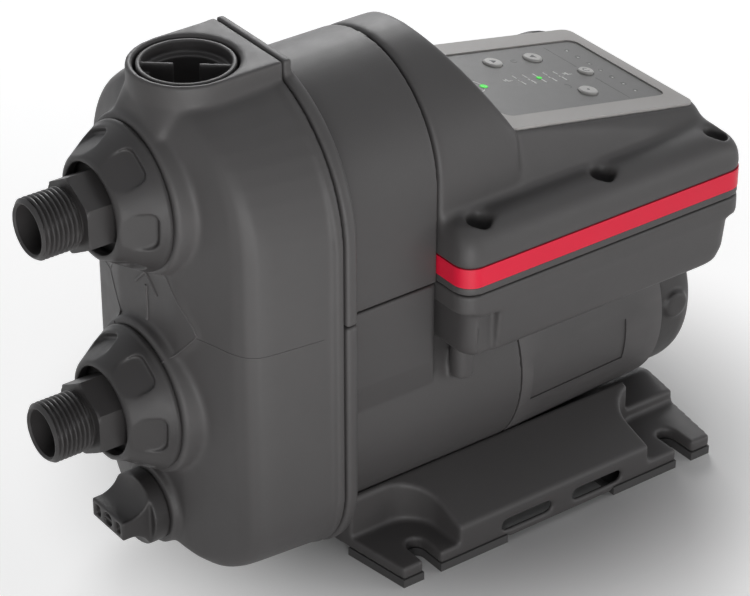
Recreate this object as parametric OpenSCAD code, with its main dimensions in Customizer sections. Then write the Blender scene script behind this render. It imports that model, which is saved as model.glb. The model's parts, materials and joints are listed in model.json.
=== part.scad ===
// Booster pump set: a self-priming pump, its motor, a pressure tank and a control box on one base.
// Millimetres. +Z is up, the pump shaft lies along X and the two ports face -X.
// The origin is the middle of the base on the floor.

/* [Base] */
// Width of the base across Y
base_w = 193; // [186:1:200]
// Length of the base along its long edges
base_edge_l = 218.6; // [212:0.2:226]
// Length of the base along its middle
base_mid_l = 244; // [238:1:250]
// Height of the top of the foot plates
foot_top = 12.4; // [11:0.2:14]
// Thickness of the rubber foot pads
pad_t = 5; // [4:0.5:6]
// Height of the long side walls
side_wall_h = 23.3; // [21:0.1:26]
// Wall thickness of the base moulding
base_wall = 3.5; // [3:0.1:4]
// Width of the open foundation slots
slot_w = 11.5; // [9:0.5:13]
// Distance between the slots along X
slot_pitch_x = 180; // [174:1:186]
// Distance between the slots across Y
slot_pitch_y = 162; // [158:1:166]

/* [Pump housing] */
// Gap between the base and the flange band of the pump
flange_gap = 7.5; // [6:0.1:9]
// Thickness of the flange band behind the joint
band_t = 7.7; // [7:0.1:8.5]
// Length of the pump housing
housing_l = 66.4; // [64:0.2:69]
// Width of the pump housing at the joint
housing_w = 166; // [162:1:170]
// Drop from the centre of the cover arch to the centre of the housing arch
arch_drop = 3.7; // [3:0.1:4.5]
// Height of the underside of the housing
housing_bottom = 14.7; // [13:0.1:17]
// Radius of the lower corners of the housing
low_corner_r = 52; // [46:1:58]
// Wall thickness of the pump housing
housing_wall = 5; // [4.5:0.1:5.5]

/* [Ports] */
// Drop from the top of the priming boss to the outlet axis
outlet_drop = 66; // [64:0.2:68]
// Distance between the outlet and inlet axes
port_pitch = 121.8; // [119:0.2:124]
// Outside diameter of the pipe thread on each nipple
thread_d = 33.2; // [32:0.1:34]
// Diameter of the waterway through each nipple
waterway_d = 26; // [24:0.5:27]
// Length of the pipe thread
thread_l = 23.8; // [22:0.1:26]
// Distance across the flats of the nipple hexagon
hex_af = 38; // [36:0.5:39]
// Radius of the union nut at its base
nut_r = 40.5; // [39:0.1:42]
// Length of the union nut
nut_l = 24.4; // [24:0.1:25.5]

/* [Plugs] */
// Radius of the opening round the priming plug
priming_hole_r = 27.2; // [26.8:0.1:27.6]
// Rise of the priming boss above the crest of the housing
priming_rise = 3.9; // [3:0.1:5]
// Height of the drain plug axis
drain_z = 43.2; // [42:0.1:45]
// Radius of the base of the drain plug
drain_r = 20.5; // [19:0.1:21.5]

/* [Motor] */
// Height of the underside of the motor
motor_lift = 13; // [12.5:0.1:14]
// Outside radius of the motor housing
motor_r = 66.5; // [66:0.1:67]
// Length of the motor housing behind the flange band
barrel_l = 122.9; // [121:0.1:125]
// Length of the end bell
bell_l = 104.6; // [102:0.2:107]
// Length of the rear cap
cap_l = 27.6; // [26:0.2:29]
// Radius of the motor shaft
shaft_r = 9; // [8:0.1:9.5]

/* [Covers] */
// Radius of the arched upper cover
cover_r = 65.3; // [64.5:0.1:66]
// Length of the upper cover behind the flange band
cover_l = 63.9; // [63:0.1:65]
// Rise of the parting plane above the top of the motor
parting_rise = 16; // [15:0.1:17]
// Rise of the centre of the cover arch above the parting plane
cover_rise = 55.5; // [54:0.1:57]
// Wall thickness of the moulded covers
cover_wall = 3; // [2.5:0.1:3.5]

/* [Control box] */
// Length of the control box
box_l = 195.5; // [194:0.5:197]
// Width of the control box
box_w = 178.4; // [176:0.4:181]
// Corner radius of the control box in plan
box_corner_r = 11; // [10:0.5:13]
// Depth of the control box below the parting plane
box_depth = 42; // [41:0.2:43]
// Height of the trim band itself
trim_h = 11.6; // [10.5:0.1:12.5]

/* [Control panel] */
// Tilt of the control panel
panel_tilt = 10.9; // [10.5:0.1:11.3]
// Distance from the front of the box to the front edge of the panel
panel_setback = 53.6; // [53:0.1:54.2]
// Rise of the front edge of the panel above the parting plane
panel_rise = 70.9; // [70.4:0.1:71.4]
// Distance from the rear edge of the panel to the rear of the box
panel_margin = 10.6; // [9:0.1:12]
// Width of the panel frame
panel_w = 112; // [110:0.5:114]
// Radius of the three larger buttons
button_r = 5.5; // [5:0.1:6]

/* [Hidden] */
$fn = 64;
clear = 0.3;
glue = 0.05;
run_fit = 0.06;
far = 400;

// Heights
axis_z = motor_lift + motor_r;
motor_top = axis_z + motor_r;
parting_z = motor_top + parting_rise;
cover_arch_z = parting_z + cover_rise;
half_w = housing_w / 2;
arch_z = cover_arch_z - arch_drop;
priming_top = arch_z + half_w + priming_rise;
outlet_z = priming_top - outlet_drop;
inlet_z = outlet_z - port_pitch;
box_bottom = parting_z - box_depth;
ledge_z = parting_z - 12;
lid_z = parting_z + 0.4;
trim_z = parting_z + 5.2;
shoulder_z = trim_z + trim_h + 6;
shelf_z = shoulder_z + 15.7;
panel_z = parting_z + panel_rise;
floor_z = motor_top + 4;

// Planes along the shaft
band_end_x = -base_mid_l / 2 - flange_gap;
joint_x = band_end_x - band_t;
front_x = joint_x - housing_l;
cover_end_x = band_end_x + cover_l;
box_front_x = cover_end_x + 0.6;
box_rear_x = box_front_x + box_l;
lower_box_end_x = box_rear_x - 6.5;
lower_front_x = box_front_x + 5;
seam_x = band_end_x + barrel_l;
bell_end_x = seam_x + bell_l;
panel_x = box_front_x + panel_setback;
panel_l = (box_rear_x - panel_margin - panel_x) / cos(panel_tilt);
hood_top_x = box_front_x + 25.2;

// Pump housing and its joint
joint_gap = 0.4;
split_gap = 0.4;
rim_l = 5.5;
rear_inset = 1.8;
band_rise = 1.2;
band_split_z = parting_z + 7.5;
web_t = 3;
plate_t = 9.4;
plate_x = band_end_x - web_t - clear - plate_t;
plate_inset = housing_wall + 0.8;
slab = 0.2;
low_draft = 0.2;
top_draft = 0.75;
nose_r = 16.2;
nose_depth = 25.3;
nose_inset = 22.9;
seal_groove_x = plate_x + 0.9;
seal_groove_w = 3.4;
seal_groove_d = 2.6;
sensor_y = 40;
sensor_z = parting_z + 18;

// Ports, nuts and nipples
boss_r = nut_r + 2.5;
boss_end_x = front_x - 7.3;
neck_r = 31;
neck_end_x = boss_end_x - 8;
port_bore_r = 22;
port_mouth_r = 23;
port_tube_end_x = front_x + 22;
nut_x = boss_end_x - clear;
nut_front_x = nut_x - nut_l;
nut_front_r = 28;
nut_mouth_r = hex_af / sqrt(3) + 2.6;
nut_lip_t = 5.4;
nut_chamber_r = 27;
grip_count = 6;
tilt_x = (nut_front_x + nut_lip_t + neck_end_x) / 2;
flange_r = nut_chamber_r - clear;
flange_t = 5.6;
spigot_r = 18.5;
spigot_end_x = neck_end_x + 6;
hex_end_x = nut_front_x - 12.4;
thread_end_x = hex_end_x - thread_l;
ring_r = 1.5;

// Check valves
valve_l = 22;
seat_t = 4;
disc_t = 3;
cage_t = 4;
stem_r = 3;
inlet_valve_x = front_x - 5.4;
outlet_valve_x = front_x + 22;

// Plugs
priming_x = joint_x - 38.1;
priming_boss_r = priming_hole_r + 3.7;
priming_floor = priming_top - 13;
priming_stem_r = priming_hole_r - 5.2;
plug_r = priming_hole_r - 1.6;
drain_boss_x = front_x - 4.4;
drain_stem_r = 12;
wing_x = front_x - 31.7;
wing_l = 31;
wing_t = 11.4;
scoop_r = 13.5;

// Motor and impeller
core_front_x = band_end_x + 34.5;
core_l = 70;
core_r = 58;
stator_bore_r = 32;
rotor_r = 26;
air_gap = 0.6;
impeller_x = plate_x - 25.8;
impeller_l = 18;
impeller_r = 42;
diffuser_r = 49;
shaft_front_x = impeller_x - 11;
front_bearing_x = band_end_x + 5.5;
rear_bearing_x = seam_x + 30.6;
shaft_end_x = rear_bearing_x + 20;
bearing_l = 12;
bearing_r = 21;
seal_r = 15;
bell_draft = 4;
mid_half_w = cover_r + 0.7;
lug_x = box_front_x + 16;
lug_r = 6.5;

// Control box and panel
box_half_w = box_w / 2;
screw_x = [box_front_x + 19, box_front_x + 103, box_rear_x - 12];
screw_y = box_half_w - 14.5;
screw_seat_z = shoulder_z + 1.2;
gland_y = 21.2 - box_half_w;
gland_z = box_bottom + 12.6;
gland_r = 5.5;
trim_t = 2.5;
tray_t = 3;
membrane_t = 1.2;
membrane_drop = 0.8;
membrane_inset = [9.9, 14.5];
button_x = panel_l * [0.397, 0.613, 0.752, 0.613];
button_y = panel_w * [0.2215, 0.2215, 0, -0.2143];
reset_r = button_r - 1;
light_at = [panel_l * 0.1937, -1.3];
light_r = 2.3;
press_travel = 0.8;
board_t = 1.6;
board_drop = 7.4;

// Pressure tank
tank_r = 49;
tank_z = arch_z + 1;
tank_x = band_end_x + 3.5;
tank_end_x = cover_end_x - 5;

// Base
flank_y = 52;
flank_end_x = 80;
rear_ledge_z = 19.5;
skirt_z = 2.6;
pad_inner_x = 38;
pad_inner_y = base_w / 2 - 42.5;

// Extrude a drawing in Y and Z along X from one plane to another
module along_x(from, to) {
  translate([from, 0, 0]) rotate([90, 0, 90]) linear_extrude(to - from) children();
}

// Cylinder along X between two planes at a height
module rod_x(from, to, r, z = 0, y = 0) {
  translate([from, y, z]) rotate([0, 90, 0]) cylinder(h = to - from, r = r);
}

// Ring along X between two planes at a height
module ring_x(from, to, outer, inner, z = 0) {
  difference() {
    rod_x(from, to, outer, z);
    rod_x(from - 1, to + 1, inner, z);
  }
}

// Cone along X between two planes at a height
module cone_x(from, to, r_from, r_to, z = 0) {
  translate([from, 0, z]) rotate([0, 90, 0]) cylinder(h = to - from, r1 = r_from, r2 = r_to);
}

// O-ring round the X axis at a height
module o_ring_x(x, r, z = 0) {
  translate([x, 0, z]) rotate([0, 90, 0]) rotate_extrude() translate([r, 0]) circle(ring_r);
}

// Outline with an arched top and rounded lower corners
module arch_outline(w, centre, low, r) {
  translate([0, centre]) circle(w);
  translate([-w, low + r]) square([2 * w, centre - low - r]);
  translate([r - w, low]) square([2 * (w - r), r + 1]);
  for (s = [-1, 1]) translate([s * (w - r), low + r]) circle(r);
}

// Outline of the pump housing at the joint, drawn smaller by an inset
module housing_outline(inset)
  arch_outline(half_w - inset, arch_z, housing_bottom + inset, low_corner_r - inset);

// Arched section of the upper cover above the parting plane
module cover_outline(inset) {
  translate([0, cover_arch_z]) circle(cover_r - inset);
  translate([inset - cover_r, parting_z]) square([2 * (cover_r - inset), cover_arch_z - parting_z]);
}

// Rectangle with round corners in plan between two X planes
module plan_outline(x0, x1, half_y, r) {
  translate([x0 + r, -half_y]) square([x1 - x0 - 2 * r, 2 * half_y]);
  translate([x0, r - half_y]) square([x1 - x0, 2 * (half_y - r)]);
  for (x = [x0 + r, x1 - r], y = [r - half_y, half_y - r]) translate([x, y]) circle(r);
}

// Thin slab of the drawn-in housing outline at a depth behind the front face
module housing_slab(depth, inset, shrink) {
  low = housing_bottom + low_draft * inset + shrink;
  r = max(low_corner_r - inset - shrink, 6);
  along_x(front_x + depth, front_x + depth + slab)
    arch_outline(half_w - inset - shrink, arch_z + top_draft * inset, low, r, $fn = 48);
}

// Drafted and round-nosed solid of the pump housing
module housing_form(shrink) {
  hull() {
    housing_slab(housing_l - joint_gap - slab, rear_inset, shrink);
    for (a = [0 : 25 : 75]) housing_slab(
      nose_depth - nose_r * cos(90 - a) + shrink * sin(a), nose_inset - nose_r * cos(a), shrink);
    housing_slab(3 + shrink, 44, shrink);
    housing_slab(shrink, 56, shrink);
  }
}

// Flat plate from the priming boss back to the joint
module priming_plate() {
  plate_bottom = arch_z + half_w - housing_wall - 3;
  translate([priming_x, -priming_boss_r, plate_bottom])
    cube([joint_x - joint_gap - priming_x, 2 * priming_boss_r, priming_top - plate_bottom]);
}

// Round boss that carries the priming plug, drawn down and forwards onto the outlet ring
module priming_boss() {
  web_half_w = 20;
  web_z = outlet_z + sqrt(boss_r * boss_r - web_half_w * web_half_w);
  translate([priming_x, 0, priming_floor]) cylinder(h = priming_top - priming_floor, r = priming_boss_r);
  translate([priming_x, 0, priming_floor - 24])
    cylinder(h = 24, r1 = priming_stem_r + 2, r2 = priming_boss_r);
  hull() {
    translate([priming_x, 0, priming_floor - 1]) cylinder(h = 4, r = priming_boss_r - 1);
    translate([boss_end_x + 3, -web_half_w, web_z - 4]) cube([10, 2 * web_half_w, 4]);
  }
}

// Raised ring, neck and inner tube of one port
module port_solid(z) {
  cone_x(boss_end_x, front_x + 10, boss_r, boss_r + 2.5, z);
  rod_x(neck_end_x, boss_end_x + 1, neck_r, z);
  rod_x(front_x, port_tube_end_x, port_bore_r + 4, z);
}

module port_cut(z) {
  rod_x(neck_end_x - 1, port_tube_end_x + 1, port_bore_r, z);
  rod_x(neck_end_x - 1, neck_end_x + 10, port_mouth_r, z);
}

module pump_housing() color("#4a4746") difference() {
  union() {
    difference() {
      union() {
        housing_form(0);
        along_x(joint_x - joint_gap - rim_l, joint_x - joint_gap) housing_outline(0);
        priming_plate();
      }
      housing_form(housing_wall);
    }
    priming_boss();
    for (z = [outlet_z, inlet_z]) port_solid(z);
    flow_pad();
    rod_x(drain_boss_x, front_x + 9, drain_r + 3, drain_z);
  }
  rear_opening();
  for (z = [outlet_z, inlet_z]) port_cut(z);
  rod_x(drain_boss_x - 1, front_x + 30, drain_stem_r + clear, drain_z);
  rod_x(drain_boss_x - 1, drain_boss_x + 2 * ring_r + 0.2, drain_stem_r + 2 * ring_r + 0.8, drain_z);
  translate([priming_x, 0, priming_floor]) cylinder(h = 30, r = priming_hole_r);
  translate([priming_x, 0, priming_floor - 30]) cylinder(h = 40, r = priming_stem_r + clear);
}

// Straight pocket at the rear of the housing that takes the back plate
module rear_opening() {
  along_x(plate_x - 0.4, joint_x + 1) housing_outline(plate_inset);
}

// Raised diamond between the two ports that carries the flow mark
module flow_pad() {
  rise = 0.9;
  side_y = 41;
  top = [15, outlet_z - 25];
  low = [16, inlet_z + 21];
  intersection() {
    housing_form(-rise);
    along_x(front_x - 5, front_x + 12) polygon([
      [-top[0], top[1]], top, [side_y, parting_z + 7], [side_y, parting_z + 3],
      low, [-low[0], low[1]], [-side_y, parting_z + 3], [-side_y, parting_z + 7]]);
  }
}

module back_plate() color("#6f7174") difference() {
  along_x(plate_x, plate_x + plate_t) housing_outline(plate_inset + clear);
  rod_x(plate_x - 1, plate_x + plate_t + 1, shaft_r + 1.5, axis_z);
  rod_x(plate_x - 1, plate_x + 5, seal_r + glue, axis_z);
  rod_x(plate_x - 1, plate_x + plate_t + 1, 7, tank_z);
  rod_x(plate_x - 1, plate_x + plate_t + 1, 6 + glue, sensor_z, sensor_y);
  along_x(seal_groove_x, seal_groove_x + seal_groove_w) difference() {
    housing_outline(plate_inset - 1);
    housing_outline(plate_inset + clear + seal_groove_d);
  }
}

module housing_seal() color("#1c1c1d") {
  outer = plate_inset + clear + 0.2;
  along_x(seal_groove_x + glue, seal_groove_x + seal_groove_w - glue) difference() {
    housing_outline(outer);
    housing_outline(outer + seal_groove_d - 0.2 - glue);
  }
}

// Union nut with a bell-shaped grip and six rounded recesses
module union_nut(z) {
  difference() {
    translate([0, 0, z]) rotate([0, 90, 0]) rotate_extrude() polygon([
      [nut_mouth_r, nut_front_x], [nut_front_r - 1.5, nut_front_x], [nut_front_r + 0.5, nut_front_x + 1.2],
      [nut_front_r + 4.3, nut_front_x + 7.6], [nut_r - 4.5, nut_x - 10.8], [nut_r - 1.5, nut_x - 5],
      [nut_r - 1, nut_x - 3.4], [nut_r, nut_x - 2.8], [nut_r, nut_x], [neck_r + clear, nut_x],
      [neck_r + clear, neck_end_x], [nut_chamber_r, neck_end_x], [nut_chamber_r, nut_front_x + nut_lip_t],
      [nut_mouth_r, nut_front_x + nut_lip_t]]);
    for (i = [0 : grip_count - 1]) translate([0, 0, z]) rotate([4 + i * 360 / grip_count, 0, 0]) grip_cut();
  }
}

// Rounded tool that cuts one grip recess, open to the front, with a floor that follows the bell
module grip_cut() {
  half = 10.5;
  corner = 5;
  length = nut_l - 4.4;
  floor_r = nut_chamber_r + 0.3;
  slope = 20.4;
  translate([nut_front_x, -floor_r, 0]) rotate([0, 0, -slope]) rotate([90, 0, 0]) linear_extrude(20) {
    translate([-corner, -half]) square([length, 2 * half]);
    translate([-corner, corner - half]) square([length + corner, 2 * (half - corner)]);
    for (s = [-1, 1]) translate([length - corner, s * (half - corner)]) circle(corner);
  }
}

module outlet_nut() color("#444241") union_nut(outlet_z);
module inlet_nut() color("#444241") union_nut(inlet_z);

// Pipe nipple with a thread land, a hexagon and a ball-edged flange held by the nut
module nipple(z) {
  lead = 1.6;
  difference() {
    union() {
      rod_x(thread_end_x + lead, hex_end_x + 0.5, thread_d / 2, z);
      cone_x(thread_end_x, thread_end_x + lead, thread_d / 2 - lead, thread_d / 2, z);
      translate([hex_end_x, 0, z]) rotate([0, 90, 0])
        cylinder(h = tilt_x - hex_end_x, r = hex_af / sqrt(3), $fn = 6);
      intersection() {
        translate([tilt_x, 0, z]) sphere(flange_r);
        rod_x(tilt_x - flange_t / 2, tilt_x + flange_t / 2, flange_r + 1, z);
      }
      rod_x(tilt_x, spigot_end_x, spigot_r, z);
    }
    rod_x(thread_end_x - 1, nut_front_x + 1, waterway_d / 2, z);
    rod_x(nut_front_x, spigot_end_x + 1, waterway_d / 2 + 1.5, z);
  }
}

module outlet_nipple() color("#3f3d3c") nipple(outlet_z);
module inlet_nipple() color("#3f3d3c") nipple(inlet_z);

module nipple_seal(z) o_ring_x(spigot_end_x - 2.5, spigot_r + ring_r + 0.02, z);
module outlet_nipple_seal() color("#1c1c1d") nipple_seal(outlet_z);
module inlet_nipple_seal() color("#1c1c1d") nipple_seal(inlet_z);

// Place a check valve drawn along +X so that it opens with the flow
module at_inlet() translate([inlet_valve_x, 0, inlet_z]) children();
module at_outlet() translate([outlet_valve_x, 0, outlet_z]) mirror([1, 0, 0]) children();

module valve_seat() ring_x(0, seat_t, port_bore_r - glue, 12);
module valve_poppet() {
  cone_x(seat_t, seat_t + disc_t, 15.5, 14);
  rod_x(seat_t + disc_t - 0.5, valve_l, stem_r);
}
module valve_cage() {
  hub_r = 7;
  ring_x(valve_l - cage_t, valve_l, port_bore_r - glue, 18.5);
  difference() {
    union() {
      rod_x(valve_l - cage_t, valve_l, hub_r);
      for (a = [0 : 120 : 240]) rotate([a, 0, 0])
        translate([valve_l - cage_t, -1.5, hub_r - 1]) cube([cage_t, 3, 13]);
    }
    rod_x(valve_l - cage_t - 1, valve_l + 1, stem_r + run_fit);
  }
}
module valve_spring() {
  coil_r = 5;
  wire_r = 0.7;
  turns = 4;
  start = seat_t + disc_t + wire_r + glue;
  pitch = (valve_l - cage_t - wire_r - glue - start) / turns;
  rise = atan(pitch / (2 * coil_r));
  translate([start, 0, 0]) rotate([0, 90, 0]) {
    for (i = [0 : turns]) translate([0, 0, i * pitch]) half_coil(coil_r, wire_r);
    for (i = [0 : turns - 1]) translate([0, 0, (i + 0.5) * pitch]) rotate([0, -rise, 0])
      rotate([0, 0, 180]) half_coil(coil_r, wire_r);
  }
}
module half_coil(coil_r, wire_r) rotate_extrude(angle = 180) translate([coil_r, 0]) circle(wire_r);

module outlet_valve_seat() color("#2b2b2c") at_outlet() valve_seat();
module outlet_valve_poppet() color("#c9c4b4") at_outlet() valve_poppet();
module outlet_valve_cage() color("#c9c4b4") at_outlet() valve_cage();
module outlet_valve_spring() color("#b9bcbf") at_outlet() valve_spring();
module inlet_valve_seat() color("#2b2b2c") at_inlet() valve_seat();
module inlet_valve_poppet() color("#c9c4b4") at_inlet() valve_poppet();
module inlet_valve_cage() color("#c9c4b4") at_inlet() valve_cage();
module inlet_valve_spring() color("#b9bcbf") at_inlet() valve_spring();

// Cup-shaped priming plug with a split cross wall for a bar or large screwdriver
module priming_plug() color("#4a4746") translate([priming_x, 0, 0]) {
  cup_z = priming_floor + 3.2;
  rim_z = priming_top - 1;
  well_z = priming_floor - 11;
  cup_r = plug_r - 2.4;
  wall_l = cup_r - 6;
  wall_h = rim_z - 1.5 - well_z;
  difference() {
    union() {
      translate([0, 0, cup_z]) cylinder(h = rim_z - cup_z, r = plug_r);
      translate([0, 0, well_z - 3]) cylinder(h = cup_z + 1 - well_z + 3, r = priming_stem_r);
    }
    translate([0, 0, cup_z + 2]) cylinder(h = 20, r = cup_r);
    translate([0, 0, well_z]) cylinder(h = 40, r = priming_stem_r - 3);
  }
  intersection() {
    rotate([0, 0, -40]) for (s = [-1, 1]) translate([s * (6.5 + wall_l / 2), 0, well_z - 0.5 + wall_h / 2])
      cube([wall_l, 2, wall_h + 1], center = true);
    union() {
      translate([0, 0, well_z - 1]) cylinder(h = wall_h + 5, r = priming_stem_r - 1);
      translate([0, 0, cup_z + 1]) cylinder(h = wall_h, r = cup_r + 1);
    }
  }
}

module priming_seal() color("#1c1c1d")
  translate([priming_x, 0, priming_floor + ring_r + 0.05]) rotate_extrude()
    translate([priming_stem_r + ring_r + 0.35, 0]) circle(ring_r);

// Drain plug: a round base scooped out above and below into a flat wing for the fingers
module drain_plug() color("#444241") {
  base_x = drain_boss_x - 0.4;
  cell = [6, 4.6, 6.6];
  ring_hole_r = 4;
  difference() {
    union() {
      rod_x(wing_x, base_x, drain_r, drain_z);
      rod_x(base_x - 1, front_x + 13, drain_stem_r, drain_z);
    }
    for (s = [-1, 1]) {
      translate([0, 0, drain_z]) scale([1, 1, s]) finger_scoop();
      translate([wing_x - 1, s > 0 ? wing_l / 2 : -wing_l / 2 - drain_r, drain_z - drain_r])
        cube([scoop_r + 5, drain_r, 2 * drain_r]);
      translate([wing_x, s * wing_l * 0.32, drain_z]) cube(cell, center = true);
    }
    rod_x(wing_x - 1, wing_x + 3, ring_hole_r, drain_z);
  }
  translate([wing_x + 0.4, -ring_hole_r - 0.5, drain_z - 0.6]) cube([3, 2 * ring_hole_r + 1, 1.2]);
}

// Tool that hollows the plug above its wing, with a round run-out to the base
module finger_scoop() {
  scoop_x = wing_x + 4;
  translate([scoop_x, 0, wing_t / 2 + scoop_r]) rotate([90, 0, 0])
    cylinder(h = 3 * drain_r, r = scoop_r, center = true);
  translate([wing_x - 1, -1.5 * drain_r, wing_t / 2]) cube([scoop_x - wing_x + 1, 3 * drain_r, 2 * scoop_r]);
  translate([scoop_x - 1, -1.5 * drain_r, wing_t / 2 + scoop_r]) cube([scoop_r + 1, 3 * drain_r, scoop_r]);
}

module drain_seal() color("#1c1c1d")
  o_ring_x(drain_boss_x + ring_r + 0.1, drain_stem_r + ring_r + 0.35, drain_z);

// Closed impeller: two shrouds and six swept vanes on a hub
module impeller() color("#b8ab8d") {
  hub_r = 14;
  eye_r = 18;
  shroud_t = 2.5;
  difference() {
    union() {
      rod_x(impeller_x + impeller_l - shroud_t, impeller_x + impeller_l, impeller_r, axis_z);
      ring_x(impeller_x + 4, impeller_x + 4 + shroud_t, impeller_r, eye_r, axis_z);
      ring_x(impeller_x, impeller_x + 5, eye_r + 2, eye_r, axis_z);
      rod_x(impeller_x + 4, impeller_x + impeller_l, hub_r, axis_z);
      for (a = [0 : 60 : 300]) translate([0, 0, axis_z]) rotate([a, 0, 0]) impeller_vane(hub_r, shroud_t);
    }
    rod_x(impeller_x - 1, impeller_x + impeller_l + 1, shaft_r + glue, axis_z);
  }
}

// One vane cut from a ring so that it sweeps backwards
module impeller_vane(hub_r, shroud_t) {
  sweep_r = 26;
  along_x(impeller_x + 5, impeller_x + impeller_l - shroud_t + 0.5) intersection() {
    translate([0, sweep_r]) difference() {
      circle(sweep_r + 1);
      circle(sweep_r - 1);
    }
    difference() {
      circle(impeller_r - 0.5);
      circle(hub_r - 1);
    }
    translate([0, -impeller_r]) square(2 * impeller_r);
  }
}

module impeller_nut() color("#c5c7c9") difference() {
  translate([impeller_x - 5, 0, axis_z]) rotate([0, 90, 0]) cylinder(h = 9 - glue, r = 12.5, $fn = 6);
  rod_x(impeller_x - 6, impeller_x + 6, shaft_r + glue, axis_z);
}

// Bowl round the impeller with an eye in its face and six outlets in its wall
module diffuser() color("#2f3133") {
  bowl_x = impeller_x - 5.5;
  difference() {
    rod_x(bowl_x, plate_x - glue, diffuser_r, axis_z);
    rod_x(bowl_x + 3, plate_x + 1, impeller_r + 2.5, axis_z);
    rod_x(bowl_x - 1, bowl_x + 4, 21, axis_z);
    for (a = [30 : 60 : 330]) translate([0, 0, axis_z]) rotate([a, 0, 0])
      translate([plate_x - 13, -5, impeller_r - 2]) cube([9, 10, 14]);
  }
}

module seal_seat() color("#8d8f90")
  ring_x(plate_x - 3, plate_x + 5 - glue, seal_r, shaft_r + 1.2, axis_z);

module seal_ring() color("#3a3a3c") difference() {
  rod_x(impeller_x + impeller_l + glue, plate_x - 3 - glue, seal_r - 1, axis_z);
  rod_x(impeller_x, plate_x, shaft_r + glue, axis_z);
}

module pressure_sensor() color("#9fa2a4") {
  rod_x(plate_x - 4, plate_x + plate_t + 0.5, 6, sensor_z, sensor_y);
  translate([plate_x - 7, sensor_y, sensor_z]) rotate([0, 90, 0]) cylinder(h = 3.5, r = 8.5, $fn = 6);
}

// Steel pressure tank on a neck behind the back plate
module tank_shell() color("#7d8083") difference() {
  union() {
    rod_x(tank_x, tank_end_x, tank_r, tank_z);
    rod_x(plate_x + plate_t + glue, tank_x + 1, 11, tank_z);
  }
  rod_x(tank_x + 2, tank_end_x - 2, tank_r - 2, tank_z);
  rod_x(plate_x, tank_x + 3, 7, tank_z);
  rod_x(tank_end_x - 3, tank_end_x + 1, 3 + glue, tank_z);
}

module tank_diaphragm() color("#202021") {
  wall = 1.6;
  mid_x = (tank_x + tank_end_x) / 2;
  outer = tank_r - 2 - 0.2;
  translate([0, 0, tank_z]) rotate([0, 90, 0]) rotate_extrude() polygon([
    [outer, mid_x - 4], [outer, mid_x + 4], [outer - 3, mid_x + 4], [outer - 3, mid_x + wall],
    [outer - 12, mid_x + 14], [0, mid_x + 16], [0, mid_x + 16 - wall], [outer - 13, mid_x + 14 - wall],
    [outer - 4.5, mid_x], [outer - 4.5, mid_x - 4]]);
}

module tank_valve() color("#b08d3e") {
  rod_x(tank_end_x - 2, tank_end_x + 3, 3, tank_z);
  rod_x(tank_end_x + glue, tank_end_x + 1.5, 5, tank_z);
}

// Flange band and web behind the joint, kept on one side of their own split
module flange_band(upper) {
  difference() {
    along_x(joint_x, band_end_x) intersection() {
      housing_outline(-band_rise);
      translate([-far / 2, upper ? band_split_z + split_gap / 2 : band_split_z - split_gap / 2 - far])
        square(far);
    }
    along_x(joint_x - 1, band_end_x - web_t) housing_outline(plate_inset);
    band_edge();
  }
}

// Step that thins the rear edge of the flange band
module band_edge() {
  along_x(band_end_x - 2, band_end_x + 1) difference() {
    housing_outline(-band_rise - 2);
    housing_outline(1.6 - band_rise);
  }
}

module upper_cover() color("#4a4746") difference() {
  union() {
    flange_band(true);
    difference() {
      along_x(band_end_x - 0.5, cover_end_x) cover_outline(0);
      along_x(band_end_x + 0.1, cover_end_x + 1) cover_outline(cover_wall);
      translate([band_end_x - 1, -far / 2, 0]) cube([far, far, parting_z + split_gap]);
      translate([band_end_x - 1, -far / 2, 0]) cube([1 + clear, far, band_split_z + split_gap / 2]);
    }
    priming_tail();
  }
  rod_x(joint_x, band_end_x + 5, 11 + clear, tank_z);
  rod_x(joint_x, band_end_x + 5, 9, sensor_z, sensor_y);
}

// End of the priming plate on the flange band
module priming_tail() {
  tail_z = arch_z + half_w - plate_inset;
  translate([joint_x, -priming_boss_r, tail_z]) cube([5, 2 * priming_boss_r, priming_top - tail_z]);
}

// Plan of the flat flanks under the tank with two rounded rear corners
module flank_plan(half_y, r) {
  x0 = band_end_x - 0.5;
  l = cover_end_x - x0;
  translate([x0, -half_y]) square([l - r, 2 * half_y]);
  translate([x0, r - half_y]) square([l, 2 * (half_y - r)]);
  for (s = [-1, 1]) translate([cover_end_x - r, s * (half_y - r)]) circle(r);
}

// Flat flanks under the tank that taper into the round barrel
module flank_block() {
  low = [motor_r - 3, axis_z + 18];
  bend_z = axis_z + 35.5;
  intersection() {
    translate([0, 0, low[1]]) linear_extrude(parting_z - low[1]) flank_plan(mid_half_w, 4);
    along_x(band_end_x - 1, cover_end_x + 1) polygon([
      [-low[0], low[1]], low, [mid_half_w, bend_z], [mid_half_w, parting_z + 1],
      [-mid_half_w, parting_z + 1], [-mid_half_w, bend_z]]);
  }
}

// Lower casting: trough under the tank, round motor barrel and two upright lugs
module motor_housing() color("#4a4746") difference() {
  union() {
    flange_band(false);
    rod_x(band_end_x - 0.5, seam_x, motor_r, axis_z);
    flank_block();
    for (s = [-1, 1]) side_lug(s);
  }
  translate([band_end_x + 3, 4 - mid_half_w, floor_z])
    cube([cover_end_x - band_end_x - 6, 2 * mid_half_w - 8, far]);
  rod_x(front_bearing_x + bearing_l + 0.1, seam_x + 1, core_r + glue, axis_z);
  rod_x(front_bearing_x, front_bearing_x + bearing_l + 1, bearing_r + glue, axis_z);
  rod_x(joint_x - 1, front_bearing_x + 1, shaft_r + 2, axis_z);
  base_screw_sites() cylinder(h = 20, r = 2.7);
}

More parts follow.
